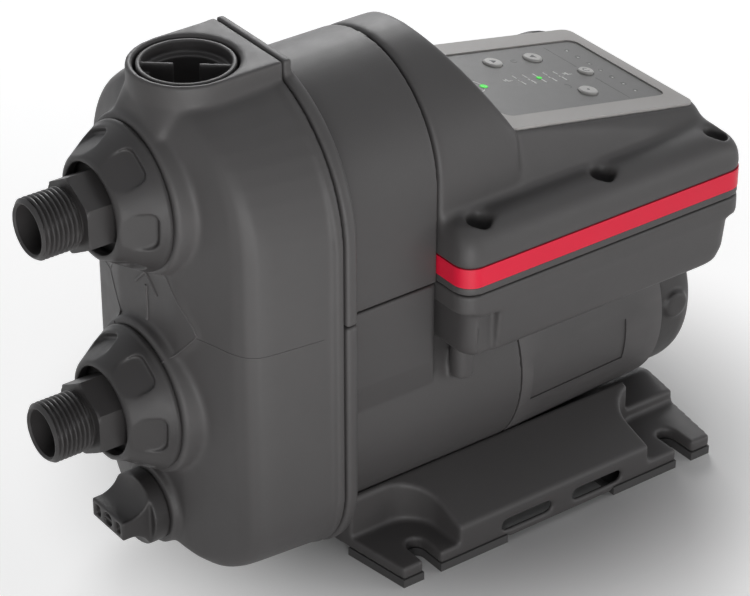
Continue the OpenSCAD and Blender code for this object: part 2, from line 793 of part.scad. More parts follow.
// Upright boss beside the barrel, just under the control box
module side_lug(s) {
  lug_z = axis_z + 20;
  lug_h = box_bottom - clear - lug_z;
  translate([lug_x, s * motor_r, lug_z]) cylinder(h = lug_h, r = lug_r);
  translate([lug_x - 3, s > 0 ? motor_r - 12 : -motor_r, lug_z]) cube([6, 12, lug_h - 8]);
}

module stator_core() color("#6b6d70") difference() {
  rod_x(core_front_x, core_front_x + core_l, core_r, axis_z);
  rod_x(core_front_x - 1, core_front_x + core_l + 1, stator_bore_r, axis_z);
  for (a = [0 : 30 : 330]) translate([0, 0, axis_z]) rotate([a, 0, 0])
    translate([core_front_x - 1, -3, stator_bore_r - 1]) cube([core_l + 2, 6, 16]);
}

module stator_windings() color("#a8562b") {
  end_l = 14;
  for (x = [core_front_x - end_l - glue, core_front_x + core_l + glue])
    ring_x(x, x + end_l, core_r - 4, stator_bore_r + 3, axis_z);
}

module rotor_core() color("#606265")
  ring_x(core_front_x, core_front_x + core_l, rotor_r, shaft_r + glue, axis_z);

module rotor_magnets() color("#3b3d42")
  ring_x(core_front_x, core_front_x + core_l, stator_bore_r - air_gap, rotor_r + glue, axis_z);

module motor_shaft() color("#c5c7c9")
  rod_x(shaft_front_x, shaft_end_x, shaft_r, axis_z);

module ball_bearing(x) difference() {
  ring_x(x, x + bearing_l - 0.1, bearing_r, shaft_r + run_fit, axis_z);
  ring_x(x - 1, x + 1.5, bearing_r - 3, shaft_r + 4, axis_z);
  ring_x(x + bearing_l - 1.5, x + bearing_l + 1, bearing_r - 3, shaft_r + 4, axis_z);
}
module front_bearing() color("#b9bcbf") ball_bearing(front_bearing_x + 0.05);
module rear_bearing() color("#b9bcbf") ball_bearing(rear_bearing_x + 0.05);

// Rear half of the motor with the bearing wall and the bare label recess
module end_bell() color("#4a4746") difference() {
  union() {
    difference() {
      cone_x(seam_x + 0.4, bell_end_x, motor_r, motor_r - bell_draft, axis_z);
      cone_x(seam_x, bell_end_x + 1, core_r + glue, core_r - bell_draft, axis_z);
    }
    rod_x(rear_bearing_x - 4, rear_bearing_x + bearing_l + 2, core_r - 0.5, axis_z);
  }
  rod_x(rear_bearing_x - 5, rear_bearing_x + bearing_l, bearing_r + glue, axis_z);
  rod_x(rear_bearing_x, rear_bearing_x + 30, shaft_r + 2, axis_z);
  label_recess();
}

// Shallow curved recess where a rating label would sit
module label_recess() {
  depth = 0.9;
  intersection() {
    difference() {
      cone_x(seam_x, bell_end_x, motor_r + 1, motor_r + 1 - bell_draft, axis_z);
      cone_x(seam_x, bell_end_x, motor_r - depth, motor_r - depth - bell_draft, axis_z);
    }
    translate([seam_x + 8.3, -far, axis_z - 18]) cube([69, far, 27]);
  }
}

module rear_cap() color("#3f3d3c") {
  end_x = bell_end_x + cap_l;
  cap_r = motor_r - bell_draft - 3;
  translate([0, 0, axis_z]) rotate([0, 90, 0]) rotate_extrude() polygon([
    [0, end_x], [cap_r - 9, end_x], [cap_r - 4, end_x - 1.5], [cap_r - 1.5, end_x - 4],
    [cap_r, end_x - 9], [cap_r, bell_end_x + 0.4], [cap_r - 3, bell_end_x + 0.4],
    [cap_r - 3, end_x - 10], [cap_r - 9, end_x - 3], [0, end_x - 3]]);
  translate([bell_end_x + 12, 3 - cap_r, axis_z + 3]) rotate([90, 0, 0]) cylinder(h = 5.4, r = 8);
}

// Thin slab of a box outline, used to loft the moulded box and lid
module box_slab(z, x0, x1, half_y)
  translate([0, 0, z]) linear_extrude(slab) plan_outline(x0, x1, half_y, box_corner_r, $fn = 32);

// Lower half of the control box, saddled over the motor
module control_box() color("#4a4746") difference() {
  union() {
    translate([0, 0, ledge_z]) linear_extrude(parting_z - ledge_z)
      plan_outline(box_front_x, box_rear_x, box_half_w, box_corner_r);
    lower_box();
  }
  translate([0, 0, floor_z]) linear_extrude(far)
    plan_outline(lower_front_x + 4, lower_box_end_x - 4, box_half_w - 4, box_corner_r - 4);
  rod_x(box_front_x - 1, box_rear_x + 1, motor_r + clear, axis_z);
  side_troughs();
  corner_pockets();
  rod_x(lower_box_end_x - 14, lower_box_end_x + 1, gland_r + clear, gland_z, gland_y);
}

// Drafted body below the ledge with a rounded lower rear edge
module lower_box() {
  hull() {
    box_slab(ledge_z, lower_front_x, lower_box_end_x, box_half_w - 0.2);
    box_slab(box_bottom + 10, lower_front_x, lower_box_end_x - 0.8, box_half_w - 2);
    box_slab(box_bottom + 3, lower_front_x + 1, lower_box_end_x - 4, box_half_w - 3);
    box_slab(box_bottom, lower_front_x + 3, lower_box_end_x - 10, box_half_w - 6);
  }
}

// Hollows under the two long sides of the box beside the motor
module side_troughs() {
  trough_top = motor_top - 4;
  for (s = [-1, 1]) translate([0, s * (motor_r + 5), 0]) linear_extrude(trough_top)
    plan_outline(box_front_x + 44, lower_box_end_x - 12, 6, 4);
}

// Open pocket with a rib in front of it at each lower front corner
module corner_pockets() {
  pocket = [11.5, 14, 28];
  for (s = [-1, 1]) translate([lower_front_x + 7, s * (box_half_w + 1) - pocket[1] / 2, box_bottom - 1])
    cube(pocket);
}

module trim_band() color("#d8334a") translate([0, 0, trim_z + 0.1]) linear_extrude(trim_h - 0.2)
  difference() {
    plan_outline(box_front_x, box_rear_x, box_half_w, box_corner_r);
    trim_core(trim_t - 0.1);
  }

module trim_groove() translate([0, 0, trim_z]) linear_extrude(trim_h) difference() {
  plan_outline(box_front_x - 1, box_rear_x + 1, box_half_w + 1, box_corner_r + 1);
  trim_core(trim_t);
}

module trim_core(t)
  plan_outline(box_front_x + t, box_rear_x - t, box_half_w - t, box_corner_r - t);

// Place children in the tilted plane of the control panel
module on_panel() translate([panel_x, 0, panel_z]) rotate([0, panel_tilt, 0]) children();

// Tapered block under the control panel
module panel_block(shrink) {
  hull() {
    translate([0, 0, shelf_z - 4]) linear_extrude(slab) plan_outline(box_front_x + 20 + shrink,
      box_rear_x - 5.5 - shrink, panel_w / 2 + 11 - shrink, 12, $fn = 32);
    on_panel() translate([0, 0, -1 - shrink]) linear_extrude(1) plan_outline(-2 + shrink,
      panel_l + 1.5 - shrink, panel_w / 2 + 1.2 - shrink, 8, $fn = 32);
  }
}

// Side outline of the hood between the cover groove and the panel
module hood(shrink) {
  hood_front_x = box_front_x + 0.4 + shrink * 0.2;
  hood_rear_x = panel_x + 1 - shrink;
  crest_z = cover_arch_z + cover_r;
  intersection() {
    along_x(hood_front_x, panel_x + 30) cover_outline(shrink);
    rotate([90, 0, 0]) linear_extrude(far, center = true) polygon([
      [box_front_x - 5, parting_z], [box_front_x - 5, crest_z + 1], [hood_top_x - shrink, crest_z + 1],
      [hood_top_x - shrink, crest_z - 1], [hood_rear_x, panel_z], [hood_rear_x, parting_z]]);
  }
}

// Rounded shoulder between the vertical side and the panel block
module shoulder() {
  steps = [[0, 0], [6, 1], [11, 4], [14.5, 9], [15.7, 15]];
  hull() for (p = steps)
    box_slab(shoulder_z + p[0] - slab, box_front_x + p[1] / 2, box_rear_x - p[1], box_half_w - p[1]);
}

module control_lid() color("#4a4746") difference() {
  union() {
    translate([0, 0, lid_z]) linear_extrude(shoulder_z - lid_z)
      plan_outline(box_front_x, box_rear_x, box_half_w, box_corner_r);
    shoulder();
    panel_block(0);
    hood(0);
  }
  translate([0, 0, lid_z - 1]) linear_extrude(shoulder_z - lid_z)
    plan_outline(box_front_x + 6, box_rear_x - 6, box_half_w - 6, box_corner_r - 4);
  translate([0, 0, lid_z]) linear_extrude(shelf_z - 5 - lid_z)
    plan_outline(box_front_x + 6, box_rear_x - 24, panel_w / 2 + 6, 6);
  panel_block(4);
  hood(4);
  trim_groove();
  for (x = screw_x, s = [-1, 1]) translate([x, s * screw_y, screw_seat_z]) {
    cylinder(h = 40, r = 6.8);
    translate([0, 0, -20]) cylinder(h = 30, r = 2.4);
  }
  on_panel() translate([0, 0, -tray_t - glue]) linear_extrude(30)
    plan_outline(-glue, panel_l + glue, panel_w / 2 + glue, 6);
  on_panel() translate([0, 0, -20]) linear_extrude(30)
    plan_outline(6, panel_l - 6, panel_w / 2 - 8, 5);
}

module lid_screws() color("#8d8f92")
  for (x = screw_x, s = [-1, 1]) translate([x, s * screw_y, screw_seat_z]) {
    difference() {
      translate([0, 0, 0.05]) cylinder(h = 3.4, r = 4.2);
      translate([0, 0, 1.6]) cylinder(h = 3, r = 2, $fn = 6);
    }
    translate([0, 0, -14]) cylinder(h = 14.5, r = 2);
  }

// Tray-shaped frame of the control panel
module panel_frame() color("#a5a09e") on_panel() difference() {
  translate([0, 0, -tray_t]) linear_extrude(tray_t) plan_outline(0, panel_l, panel_w / 2, 6);
  translate([0, 0, -membrane_t - membrane_drop - glue]) linear_extrude(5) membrane_outline(0.1);
  for (i = [0 : 3]) translate([button_x[i], button_y[i], -5]) cylinder(h = 10, r = button_hole_r(i));
  translate([light_at[0], light_at[1], -5]) cylinder(h = 10, r = light_r + 0.1);
}

module membrane_outline(grow)
  plan_outline(membrane_inset[0] - grow, panel_l - 8.5 + grow, panel_w / 2 - membrane_inset[1] + grow, 6);

function button_radius(i) = i == 2 ? reset_r : button_r;
function button_hole_r(i) = button_radius(i) + 0.35;

module panel_membrane() color("#797b7a") on_panel() translate([0, 0, -membrane_t - membrane_drop])
  linear_extrude(membrane_t) difference() {
    membrane_outline(0);
    for (i = [0 : 3]) translate([button_x[i], button_y[i]]) circle(button_hole_r(i));
    translate(light_at) circle(light_r + 0.1);
  }

module display_board() color("#2f5d3a") on_panel() translate([0, 0, -board_drop - board_t])
  linear_extrude(board_t) plan_outline(8, panel_l - 8, panel_w / 2 - 10, 3);

// Button cap with a stem down to its switch
module button(i) on_panel() translate([button_x[i], button_y[i], 0]) {
  translate([0, 0, -tray_t - 1]) cylinder(h = tray_t + 1, r = button_radius(i));
  cylinder(h = 0.6, r1 = button_radius(i), r2 = button_radius(i) - 0.6);
  translate([0, 0, press_travel - board_drop + 0.2]) cylinder(h = 4, r = 2);
}
module up_button() color("#c9c8c6") button(0);
module down_button() color("#c9c8c6") button(1);
module reset_button() color("#c9c8c6") button(2);
module power_button() color("#c9c8c6") button(3);

module status_light() color("#48d83a") on_panel() translate([light_at[0], light_at[1], -board_drop])
  cylinder(h = board_drop - membrane_drop + 0.2, r = light_r);

// Frequency converter board with its larger components
module power_board() color("#2f5d3a") {
  board_z = floor_z + 5;
  board = [box_l - 35.5, box_w - 38.4, board_t];
  post_inset = 8;
  translate([box_front_x + 16, 0, 0]) {
    translate([0, -board[1] / 2, board_z]) cube(board);
    for (x = [29, 59, 89]) translate([x, 45, board_z + 1]) cylinder(h = 20, r = 9);
    translate([109, -50, board_z + 1]) cube([34, 46, 16]);
    for (x = [post_inset, board[0] - post_inset], s = [-1, 1])
      translate([x, s * (board[1] / 2 - post_inset), floor_z + glue]) cylinder(h = 5.5, r = 3);
  }
}

// Hexagon gland for the supply lead at the rear of the lower box
module cable_gland() color("#2b2b2c") difference() {
  union() {
    translate([lower_box_end_x + glue, gland_y, gland_z]) rotate([0, 90, 0]) cylinder(h = 4, r = 8, $fn = 6);
    rod_x(lower_box_end_x - 11, lower_box_end_x + 1, gland_r, gland_z, gland_y);
  }
  rod_x(lower_box_end_x - 12, lower_box_end_x + 6, 3.2, gland_z, gland_y);
}

// Plan of the base: long straight edges and blunt pointed ends
module base_plan(inset) {
  e = base_edge_l / 2 - inset;
  m = base_mid_l / 2 - inset;
  h = base_w / 2 - inset;
  polygon([[-e, -h], [e, -h], [m, -14], [m, 14], [e, h], [-e, h], [-m, 14], [-m, -14]]);
}

// Cross-section of the base with concave flanks up to the motor
module base_section(inset) {
  h = base_w / 2 - inset;
  top = side_wall_h - inset;
  crest = flank_y - inset;
  crest_z = axis_z - sqrt(motor_r * motor_r - flank_y * flank_y) - inset;
  difference() {
    union() {
      translate([-h, -1]) square([2 * h, top + 1]);
      polygon([[-h, top - 1], [h, top - 1], [h, top], [crest, crest_z], [-crest, crest_z], [-h, top]]);
    }
    for (s = [-1, 1]) translate([s * (base_w / 2 - 4.5), crest_z + 44 - inset]) circle(46 - inset);
  }
}

// Plan of one foot pocket, open to the outside of the base
module foot_pocket(sx, sy) {
  inner_x = base_edge_l / 2 - (sx < 0 ? 38.3 : 46.3);
  inner_y = base_w / 2 - 40.5;
  r = 22;
  scale([sx, sy]) union() {
    translate([inner_x + r, inner_y]) square(far);
    translate([inner_x, inner_y + r]) square(far);
    translate([inner_x + r, inner_y + r]) circle(r);
  }
}

module foot_slot(sx, sy) scale([sx, sy]) translate([slot_pitch_x / 2, slot_pitch_y / 2]) {
  circle(slot_w / 2);
  translate([-slot_w / 2, 0]) square([slot_w, far]);
}

module base_plate() color("#4a4746") difference() {
  union() {
    intersection() {
      translate([0, 0, pad_t]) linear_extrude(far) base_plan(0);
      along_x(-far, far) base_section(0);
    }
    wall_skirt();
  }
  intersection() {
    translate([0, 0, -1]) linear_extrude(far) base_plan(base_wall);
    along_x(-far, far) base_section(base_wall);
    hollow_limits();
  }
  translate([flank_end_x, -far, rear_ledge_z]) cube(2 * far);
  rod_x(-far, far, motor_r + clear, axis_z);
  for (sx = [-1, 1], sy = [-1, 1]) {
    translate([0, 0, foot_top]) linear_extrude(far) foot_pocket(sx, sy);
    translate([0, 0, -1]) linear_extrude(far) foot_slot(sx, sy);
  }
  for (s = [-1, 1], x = [-24, 26]) wall_slot(x, s);
  base_screw_sites() translate([0, 0, -20]) cylinder(h = 40, r = 2.7);
}

// Lower edge of the two long walls between the foot pads
module wall_skirt() translate([0, 0, skirt_z]) linear_extrude(pad_t + 1 - skirt_z) intersection() {
  difference() {
    base_plan(0);
    base_plan(base_wall);
  }
  square([2 * (pad_inner_x - 1), far], center = true);
}

// Keep the underside hollow clear of the feet, the saddle and the low rear ledge
module hollow_limits() difference() {
  translate([-far, -far, -1]) cube(2 * far);
  rod_x(-far, far, motor_r + base_wall + 1, axis_z);
  translate([flank_end_x - base_wall, -far, rear_ledge_z - base_wall]) cube(2 * far);
  for (sx = [-1, 1], sy = [-1, 1]) translate([0, 0, -2]) linear_extrude(far)
    translate([-sx * base_wall, -sy * base_wall]) foot_pocket(sx, sy);
}

// Oblong opening through a long side wall
module wall_slot(x, s) translate([x, s * base_w / 2, (side_wall_h - 0.5) / 2]) rotate([90, 0, 0])
  translate([0, 0, -6]) linear_extrude(12) {
    square([28, 7.3], center = true);
    for (e = [-14, 14]) translate([e, 0]) circle(3.65);
  }

module base_screw_sites() for (x = [seam_x - 41.4, seam_x - 13.4], s = [-1, 1])
  translate([x, 16 * s, motor_lift - 1]) children();

module base_screws() color("#8d8f92") base_screw_sites() {
  translate([0, 0, -7.2]) cylinder(h = 3, r = 4.5);
  translate([0, 0, -5]) cylinder(h = 13, r = 2.5);
}

module foot_pads() color("#232324") linear_extrude(pad_t - 0.02) difference() {
  intersection() {
    base_plan(0);
    for (sx = [-1, 1], sy = [-1, 1]) scale([sx, sy]) translate([pad_inner_x, pad_inner_y]) square(far);
  }
  for (sx = [-1, 1], sy = [-1, 1]) foot_slot(sx, sy);
}

pump_housing();
back_plate();
housing_seal();
outlet_nut();
inlet_nut();
outlet_nipple();
inlet_nipple();
outlet_nipple_seal();
inlet_nipple_seal();
outlet_valve_seat();
outlet_valve_poppet();
outlet_valve_cage();
outlet_valve_spring();
inlet_valve_seat();
inlet_valve_poppet();
inlet_valve_cage();
inlet_valve_spring();
priming_plug();
priming_seal();
drain_plug();
drain_seal();
impeller();
impeller_nut();
diffuser();
seal_seat();
seal_ring();
tank_shell();
tank_diaphragm();
tank_valve();
upper_cover();
motor_housing();
stator_core();
stator_windings();
rotor_core();
rotor_magnets();
motor_shaft();
front_bearing();
rear_bearing();
end_bell();
rear_cap();
control_box();
trim_band();
control_lid();
lid_screws();
panel_frame();
panel_membrane();
display_board();
up_button();
down_button();
reset_button();
power_button();
status_light();
power_board();
cable_gland();
base_plate();
foot_pads();
base_screws();
pressure_sensor();
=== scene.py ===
"""Looks of the booster pump set: moulded plastics, threaded nipples, a lit control panel and a plain studio.

Lengths are in metres unless a name ends in _mm or _MM. The functions that draw on the control panel work in
millimetres along its slope and across it. The pump shaft lies along X and the ports face -X.
"""

import json
import math

import bpy
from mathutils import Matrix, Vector
from mathutils.bvhtree import BVHTree


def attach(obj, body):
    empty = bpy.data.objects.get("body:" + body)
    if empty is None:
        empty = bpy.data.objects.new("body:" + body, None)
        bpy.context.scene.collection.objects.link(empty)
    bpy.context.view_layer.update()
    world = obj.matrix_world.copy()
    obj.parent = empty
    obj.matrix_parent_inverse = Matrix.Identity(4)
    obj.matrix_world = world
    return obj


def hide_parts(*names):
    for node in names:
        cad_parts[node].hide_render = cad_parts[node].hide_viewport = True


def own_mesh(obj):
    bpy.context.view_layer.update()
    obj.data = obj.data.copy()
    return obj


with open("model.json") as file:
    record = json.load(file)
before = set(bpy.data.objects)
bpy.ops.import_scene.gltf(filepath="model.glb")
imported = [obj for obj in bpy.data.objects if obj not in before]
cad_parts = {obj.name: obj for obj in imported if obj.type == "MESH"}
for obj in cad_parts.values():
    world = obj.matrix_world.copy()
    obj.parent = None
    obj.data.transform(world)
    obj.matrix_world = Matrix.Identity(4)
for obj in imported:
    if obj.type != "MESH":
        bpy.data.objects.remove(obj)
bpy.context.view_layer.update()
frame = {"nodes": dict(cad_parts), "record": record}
nodes = frame["nodes"]
MM = 0.001
FIXED = "pump_set"

# Camera of the photograph
IMAGE_WIDTH_PX = 750
FOCAL_PX = 3060.17
SENSOR_MM = 36
CAMERA_AZIMUTH = math.radians(-36.17)
CAMERA_ELEVATION = math.radians(31.65)
CAMERA_TARGET = Vector((-0.05831, 0, 0.11779))
CAMERA_DISTANCE = 1.68443

# Places on the pump in millimetres
JOINT_X_MM = -137.2
OUTLET_Z_MM = 234.7
INLET_Z_MM = 112.9
TRIM_TOP_MM = 178.8

# Softening of moulded edges
BODY_VOXEL_MM = 1.1
FITTING_VOXEL_MM = 0.6
KEPT_SHARE = 0.4
EDGE_BREAK_MM = 0.4

# Raised lines on the pump housing: the rays that find its surface, outlines in Y and Z, and radii
CAST_FROM = 0.3
STROKE_POINTS = 14
PAD_EDGE_MM = ((17, 196), (39, 171), (41, 167), (39, 164), (17, 139))
PAD_EDGE_R_MM = 0.45
FLOW_TIP_MM = (0, 187)
FLOW_STROKES_MM = {
    "flow_stem": [(0, 179), (0, 158)],
    "flow_barb_near": [FLOW_TIP_MM, (-10, 177)],
    "flow_barb_far": [FLOW_TIP_MM, (10, 177)],
}
FLOW_MARK_R_MM = 0.9
CREASE_Z_MM = 165
CREASE_R_MM = 0.3
CREASE_CENTRE_X_MM = JOINT_X_MM - 12
CREASE_CENTRE_Y_MM = 20
CREASE_END_X_MM = JOINT_X_MM - 7
CREASE_DEGREES = range(22, 92)

# Plane and heights of the control panel
PANEL_TILT = math.radians(10.9)
PANEL_ORIGIN_MM = Vector((-11.4, 0, 232.9))
MEMBRANE_DEPTH_MM = 0.8
BUTTON_TOP_MM = 0.6
PRINT_LIFT_MM = 0.01
PRINT_T_MM = 0.04
LENS_T_MM = 0.3

# Marks of the control panel, as places along and across it in millimetres
STATUS_LIGHT_MM = (17.8, 0.8)
STATUS_RING_R_MM = 8.4
SCALE_LIGHT_MM = (66.5, 0)
SCALE_LIGHT_R_MM = 1.6
SCALE_COLUMNS = 5
LIT_COLUMN = 2
FIRST_COLUMN_MM = 52.5
COLUMN_PITCH_MM = 7.15
COLUMN_DRIFT_MM = -0.32
TAP_PLACES_MM = ((45.5, 2.4), (87.5, 1))
SYMBOL_PLACES_MM = [(111.5, 29.6 - 9.95 * i) for i in range(7)]
SETTING_MARK_MM = (68.2, 24.5)
POWER_BOW_MM = (74.2, -14.2)
UP_BUTTON_MM = (53.1, 24.8)
DOWN_BUTTON_MM = (82, 24.8)
RESET_BUTTON_MM = (100.6, 0)
POWER_BUTTON_MM = (82, -24)
ARROW_R_MM = 2.4

# Bars of the control panel: place along, place across, length and width in millimetres
UPPER_TICK_MM = (0, 4.8, 4.2, 0.95)
LOWER_TICK_MM = (0, -3.4, 4.6, 0.95)
MIDDLE_TICK_MM = (-0.6, 0.2, 1.8, 0.85)
DIVIDER_BARS_MM = ((100.2, 22, 29.5, 0.35), (100.6, -23.2, 29, 0.35))
TAP_BARS_MM = (
    (-1.4, 0, 1.2, 1),
    (-0.2, 0, 3.6, 1),
    (-2.2, 0, 2.6, 0.6),
    (0.9, -1.4, 0.9, 1.6),
    (2.4, -1.4, 0.6, 0.6),
)

# Nipple sizes in millimetres
THREAD_END_MM = -271.8
HEX_END_MM = -248
NUT_FRONT_MM = -235.6
TILT_X_MM = -224.55
SPIGOT_END_MM = -212.9
THREAD_R_MM = 16.6
THREAD_DEPTH_MM = 1.9
THREAD_PITCH_MM = 2.7
LEAD_IN_MM = 2.2
RUN_OUT_L_MM = 2.4
RUN_OUT_DEPTH_MM = 2
HEX_FLAT_MM = 19
HEX_CHAMFER_MM = 1.4
FLANGE_R_MM = 26.7
FLANGE_CROWN_MM = 0.15
FLANGE_HALF_T_MM = 2.8
SPIGOT_R_MM = 18.5
BORE_R_MM = 13
WIDE_BORE_R_MM = 14.5
MOUTH_DEPTH_MM = 1.2
MOUTH_FLARE_MM = 0.9

# Nipple slopes and the fineness of its mesh
CREST_SLOPE = 1.35
LEAD_IN_SLOPE = 1.1
RUN_OUT_SLOPE = 1.2
HEX_CHAMFER_SLOPE = 1.7
SAMPLES_PER_PITCH = 8
HEX_STATIONS = (0, 0.04, 0.08, 0.15, 0.3, 0.6, 1)
RING_STEPS = 96

# Finish of plastics and metals: where noises and edges set in, noise scales, grain depths and gloss
NOISE_LOW = 0.3
NOISE_HIGH = 0.7
EDGE_FROM = 0.51
EDGE_FULL = 0.6
EDGE_LIGHTER = 2.2
PLASTIC_MOTTLE_SCALE = 22
PLASTIC_SHEEN_SCALE = 140
PLASTIC_GRAIN_SCALE = 1500
PLASTIC_GRAIN_DEPTH = 0.00005
PLASTIC_SPECULAR = 0.42
METAL_MOTTLE_SCALE = 60
METAL_MOTTLE = 0.08
METAL_GRAIN_DEPTH = 0.00002

# Studio: the floor and its light towards the eye, faded out near the part as a painted shadow, the world's
# light towards the eye and the part, and lamps
FLOOR_SIZE = 8
FLOOR_Z = -0.0002
FLOOR_LIFT = 0.6
# Floor lift is zero within the first distance and full beyond the second: a painted shadow round the part
PAINTED_SHADE_CORE = 0.1
PAINTED_SHADE_EDGE = 0.26
WORLD_SEEN = 0.85
WORLD_LIGHT = 0.1
WORLD_COLOUR = (0.97, 0.98, 1, 1)
PART_MIDDLE = (-0.05, 0, 0.13)
BOUNCE_Z = 0.005
BOUNCE_SIZE = 1.3


def tone(red, green, blue):
    """Linear colour of an sRGB tone given from 0 to 255."""
    def linear(value):
        share = value / 255
        return share / 12.92 if share <= 0.04045 else ((share + 0.055) / 1.055) ** 2.4
    return linear(red), linear(green), linear(blue)


def scaled(colour, factor):
    """Colour made lighter or darker, with full alpha."""
    return tuple(min(1, channel * factor) for channel in colour) + (1,)


BODY_GREY = tone(82, 80, 80)
FITTING_GREY = tone(60, 58, 58)
BLACK = tone(38, 38, 39)
RUBBER = tone(72, 71, 71)
TRIM_RED = tone(250, 30, 64)
FRAME_GREY = tone(186, 182, 179)
MEMBRANE_GREY = tone(108, 107, 106)
SILVER = tone(216, 214, 211)
INK = tone(250, 250, 248)
DIM_INK = tone(70, 71, 71)
LED_GREEN = tone(40, 235, 45)
CREAM = tone(196, 188, 168)
STEEL = tone(190, 191, 193)
CORE_STEEL = tone(120, 122, 125)
PLATE_METAL = tone(150, 151, 154)
COPPER = tone(176, 98, 58)
BRASS = tone(188, 158, 88)
BOARD_GREEN = tone(40, 92, 58)
FLOOR_GREY = tone(228, 228, 228)


class Shader:
    """Small builder for a procedural material."""

    def __init__(self, name):
        self.material = bpy.data.materials.new(name)
        self.material.use_nodes = True
        self.tree = self.material.node_tree
        self.bsdf = self.tree.nodes["Principled BSDF"]

    def node(self, kind, **inputs):
        made = self.tree.nodes.new(kind)
        for key, value in inputs.items():
            made.inputs[key].default_value = value
        return made

    def link(self, source, target):
        self.tree.links.new(source, target)

    def noise(self, scale, detail=2):
        """Noise over the object's own coordinates."""
        coords = self.node("ShaderNodeTexCoord")
        noise = self.node("ShaderNodeTexNoise", Scale=scale, Detail=detail)
        self.link(coords.outputs["Object"], noise.inputs["Vector"])
        return noise.outputs["Fac"]

    def ramp(self, source, stops):
        """Colour ramp with stops of place and colour."""
        made = self.node("ShaderNodeValToRGB")
        for element, (place, colour) in zip(made.color_ramp.elements, stops):
            element.position = place
            element.color = colour
        self.link(source, made.inputs["Fac"])
        return made.outputs["Color"]

    def span(self, source, low, high):
        """Map a noise onto a range of values."""
        made = self.node("ShaderNodeMapRange")
        made.inputs["From Min"].default_value = NOISE_LOW
        made.inputs["From Max"].default_value = NOISE_HIGH
        made.inputs["To Min"].default_value = low
        made.inputs["To Max"].default_value = high
        self.link(source, made.inputs["Value"])
        return made.outputs["Result"]

    def colour(self, base, variation, scale):
        """Slow mottling of the base colour."""
        stops = [(NOISE_LOW, scaled(base, 1 - variation)), (NOISE_HIGH, scaled(base, 1 + variation))]
        return self.ramp(self.noise(scale, 3), stops)

    def worn_edges(self, source, base, amount):
        """Lighten convex edges where hands and packing rub."""
        geometry = self.node("ShaderNodeNewGeometry")
        stops = [(EDGE_FROM, (0, 0, 0, 1)), (EDGE_FULL, (amount, amount, amount, 1))]
        edge = self.ramp(geometry.outputs["Pointiness"], stops)
        mix = self.node("ShaderNodeMix")
        mix.data_type = "RGBA"
        self.link(edge, mix.inputs["Factor"])
        self.link(source, mix.inputs["A"])
        mix.inputs["B"].default_value = scaled(base, EDGE_LIGHTER)
        return mix.outputs["Result"]

    def grain(self, scale, depth):
        """Fine bump such as an eroded mould surface."""
        bump = self.node("ShaderNodeBump")
        bump.inputs["Distance"].default_value = depth
        self.link(self.noise(scale, 2), bump.inputs["Height"])
        self.link(bump.outputs["Normal"], self.bsdf.inputs["Normal"])


def moulded_plastic(name, colour, roughness, wear=0.35, variation=0.03):
    """Matte moulded plastic with a spark-eroded grain and rubbed edges."""
    shader = Shader(name)
    base = shader.colour(colour, variation, PLASTIC_MOTTLE_SCALE)
    shader.link(shader.worn_edges(base, colour, wear), shader.bsdf.inputs["Base Color"])
    uneven = shader.span(shader.noise(PLASTIC_SHEEN_SCALE), roughness - 0.02, roughness + 0.03)
    shader.link(uneven, shader.bsdf.inputs["Roughness"])
    shader.bsdf.inputs["Specular IOR Level"].default_value = PLASTIC_SPECULAR
    shader.grain(PLASTIC_GRAIN_SCALE, PLASTIC_GRAIN_DEPTH)
    return shader.material


def metal(name, colour, roughness, scale=300):
    """Worked metal with a fine uneven surface."""
    shader = Shader(name)
    mottled = shader.colour(colour, METAL_MOTTLE, METAL_MOTTLE_SCALE)
    shader.link(mottled, shader.bsdf.inputs["Base Color"])
    uneven = shader.span(shader.noise(scale), roughness - 0.06, roughness + 0.08)
    shader.link(uneven, shader.bsdf.inputs["Roughness"])
    shader.bsdf.inputs["Metallic"].default_value = 1
    shader.grain(scale * 4, METAL_GRAIN_DEPTH)
    return shader.material


def lit_lens(name, colour, strength):
    """Green lens with a lamp behind it."""
    shader = Shader(name)
    glow = shader.colour(colour, 0.12, 500)
    shader.link(glow, shader.bsdf.inputs["Base Color"])
    shader.link(glow, shader.bsdf.inputs["Emission Color"])
    shader.bsdf.inputs["Emission Strength"].default_value = strength
    shader.bsdf.inputs["Roughness"].default_value = 0.25
    return shader.material


def make_materials():
    """One material for each slot of the record, and the inks of the panel."""
    return {
        "housing_plastic": moulded_plastic("housing_plastic", BODY_GREY, 0.5),
        "fitting_plastic": moulded_plastic("fitting_plastic", FITTING_GREY, 0.46),
        "inner_plastic": moulded_plastic("inner_plastic", CREAM, 0.45),
        "black_plastic": moulded_plastic("black_plastic", BLACK, 0.5),
        "trim_red": moulded_plastic("trim_red", TRIM_RED, 0.42, wear=0.1),
        "panel_grey": moulded_plastic("panel_grey", FRAME_GREY, 0.5, wear=0.15),
        "membrane_grey": moulded_plastic("membrane_grey", MEMBRANE_GREY, 0.42, wear=0.05, variation=0.025),
        "button_silver": moulded_plastic("button_silver", SILVER, 0.3, wear=0.2, variation=0.04),
        "light_green": lit_lens("light_green", LED_GREEN, 0.45),
        "rubber_black": moulded_plastic("rubber_black", RUBBER, 0.7, wear=0.2),
        "steel": metal("steel", STEEL, 0.32),
        "core_steel": metal("core_steel", CORE_STEEL, 0.45),
        "plate_metal": metal("plate_metal", PLATE_METAL, 0.5, scale=160),
        "copper": metal("copper", COPPER, 0.35),
        "brass": metal("brass", BRASS, 0.3),
        "board": moulded_plastic("board", BOARD_GREEN, 0.4),
        "ink": moulded_plastic("ink", INK, 0.5, wear=0, variation=0.04),
        "dim_ink": moulded_plastic("dim_ink", DIM_INK, 0.5, wear=0, variation=0.06),
    }


materials = make_materials()


def paint_nodes():
    """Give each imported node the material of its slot."""
    for part in frame["record"]["subparts"]:
        mesh = nodes[part["node"]].data
        mesh.materials.clear()
        mesh.materials.append(materials[part["material_slot"]])


